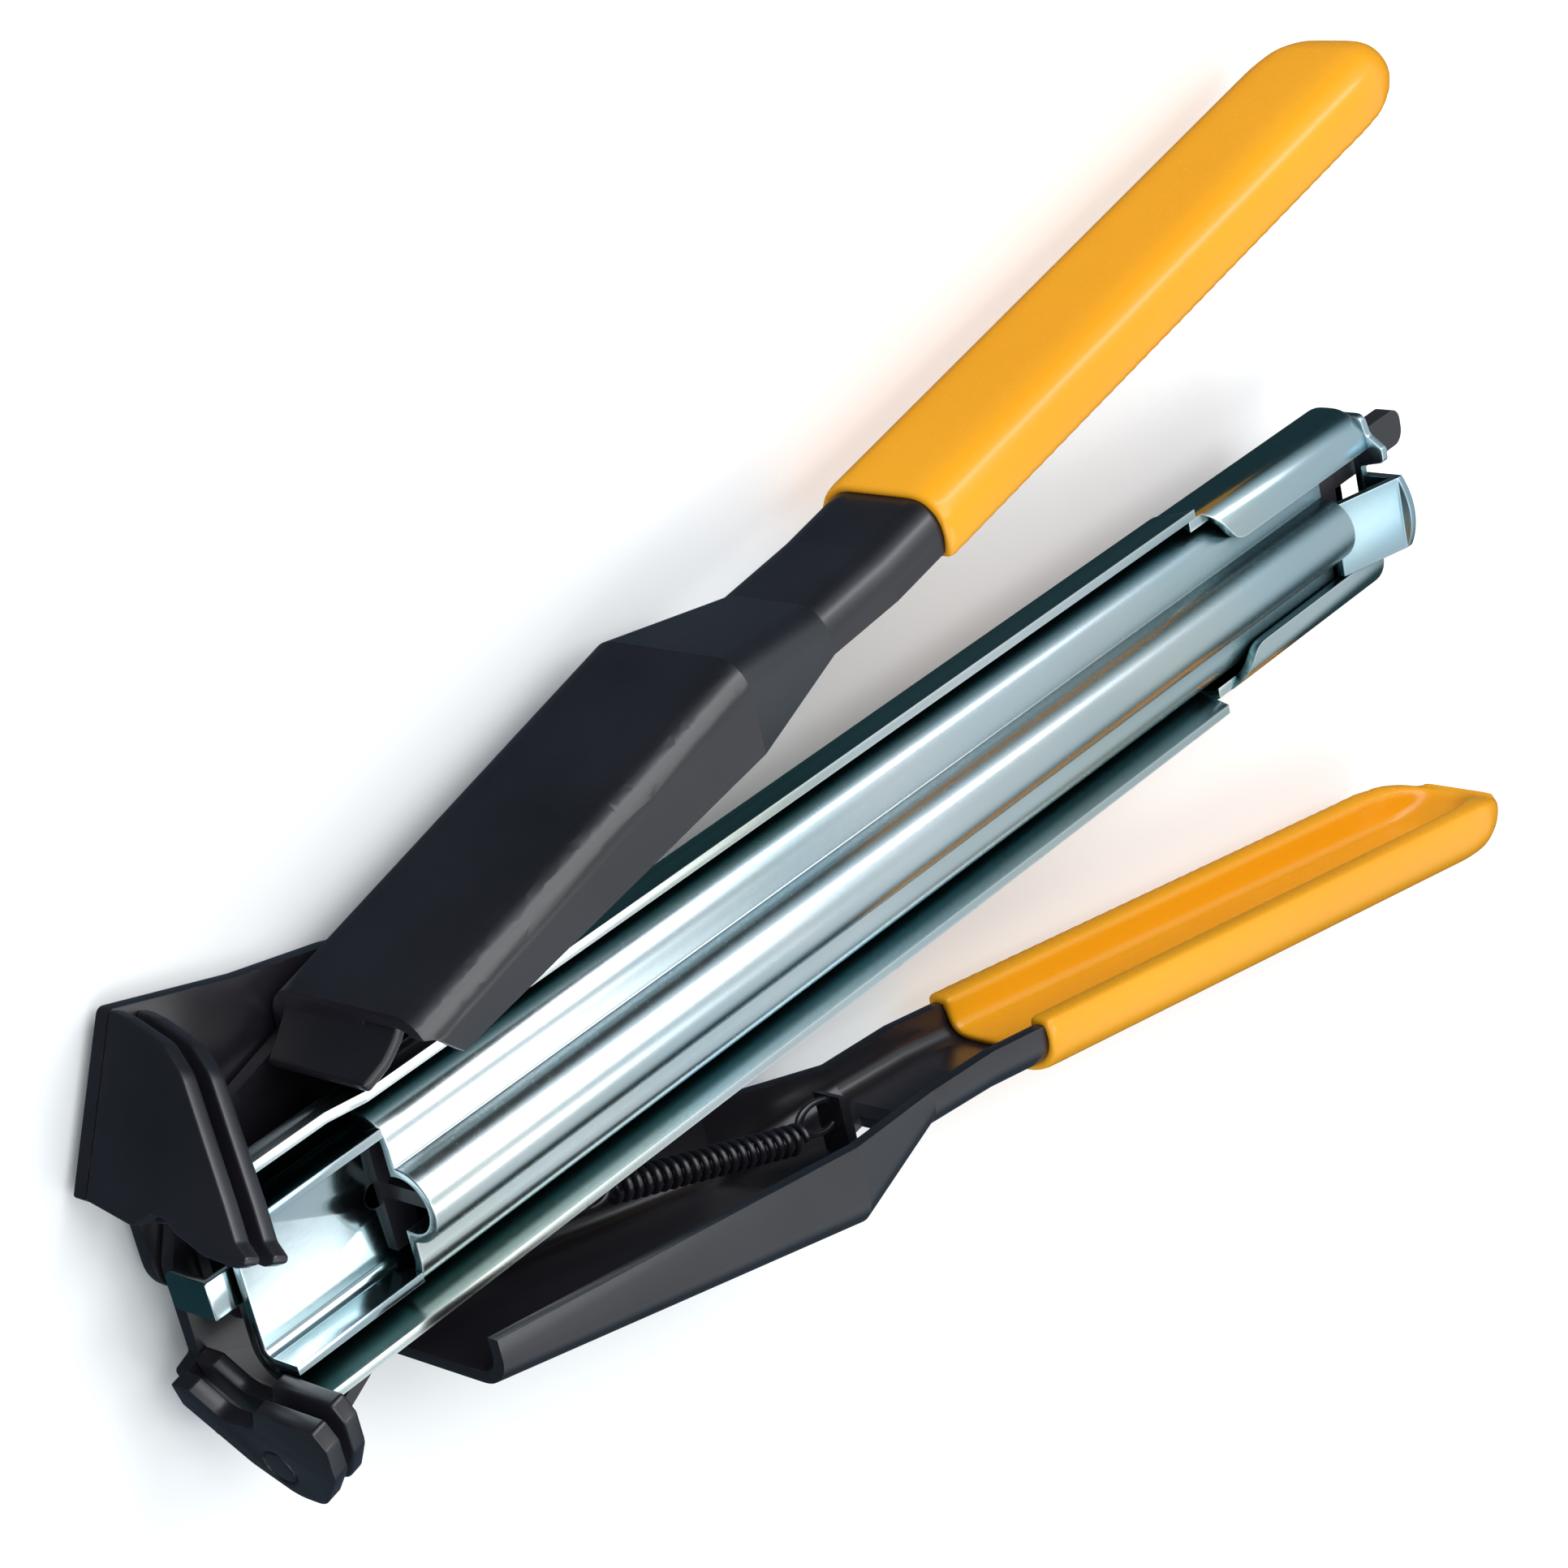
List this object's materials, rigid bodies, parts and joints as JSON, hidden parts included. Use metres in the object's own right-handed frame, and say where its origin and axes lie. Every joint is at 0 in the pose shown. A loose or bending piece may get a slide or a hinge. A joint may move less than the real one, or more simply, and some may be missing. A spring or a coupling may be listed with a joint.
{
  "type": "ring stapler plier",
  "caption": "Hand plier that closes C-shaped rings: two crossed levers with dipped grips squeeze grooved jaws at the nose of a spring-fed straight magazine that lies between the handles.",
  "frame": {"origin": "on the pivot axis, at the far face of the pivot pin's head, which is the lowest face of the tool as it lies flat", "axes": "+X runs back along the magazine from the jaws to the handles, +Y points to the upper handle, +Z is the pivot axis, up and away from the rest plane"},
  "size_m": [0.2485, 0.1282, 0.0306],
  "materials": {
    "lever_black": "satin black finish on stamped steel with a faint violet sheen on the folds",
    "grip_vinyl": "glossy amber-yellow dipped vinyl",
    "zinc_plate": "clear zinc plating with faint blue and straw tints, fine grain",
    "pivot_steel": "plain turned steel, darkened",
    "spring_black": "black oxide spring wire",
    "bar_black": "matte black oxide"
  },
  "bodies": {
    "root": {"magazine_channel": "zinc_plate", "rail_channel": "zinc_plate", "rail_cover": "zinc_plate", "nose_hook": "zinc_plate", "end_plate": "zinc_plate", "end_tab": "zinc_plate", "frame_plate": "lever_black", "magazine_standoffs": "zinc_plate", "rail_rivets": "zinc_plate", "spring_anchor": "bar_black", "feed_spring": "spring_black", "pivot_pin": "pivot_steel", "pivot_washers": "pivot_steel"},
    "upper_lever": {"upper_handle": "lever_black", "upper_grip": "grip_vinyl", "lower_jaw_front": "lever_black", "lower_jaw_rear": "lever_black", "lower_jaw_spacer": "lever_black", "spring_post": "lever_black"},
    "lower_lever": {"lower_handle": "lever_black", "lower_grip": "grip_vinyl", "upper_jaw_front": "lever_black", "upper_jaw_rear": "lever_black", "upper_jaw_spacer": "lever_black"},
    "return_spring_body": {"return_spring": "spring_black"},
    "follower": {"follower_block": "bar_black", "ring_pusher": "bar_black", "pull_bar": "bar_black", "pull_stub": "bar_black"}
  },
  "joints": [
    {"name": "upper_hinge", "type": "hinge", "parent": "root", "child": "upper_lever", "pos_m": [0, 0, 0], "axis": [0, 0, 1], "range_deg": [-12, 0], "stiffness_Nm_per_rad": 2, "springref_deg": 3.44},
    {"name": "lower_hinge", "type": "hinge", "parent": "root", "child": "lower_lever", "pos_m": [0, 0, 0], "axis": [0, 0, 1], "range_deg": [0, 12]},
    {"name": "spring_swing", "type": "hinge", "parent": "lower_lever", "child": "return_spring_body", "pos_m": [0.0615, -0.031, 0.0167], "axis": [0, 0, 1], "range_deg": [0, 9]},
    {"name": "follower_slide", "type": "slide", "parent": "root", "child": "follower", "axis": [1, 0, 0], "range_m": [-0.12, 0], "deforming": ["feed_spring"]}
  ],
  "couplings": [
    {"joint": "lower_hinge", "follows": "upper_hinge", "ratio": -1},
    {"joint": "spring_swing", "follows": "upper_hinge", "ratio": -0.718}
  ]
}
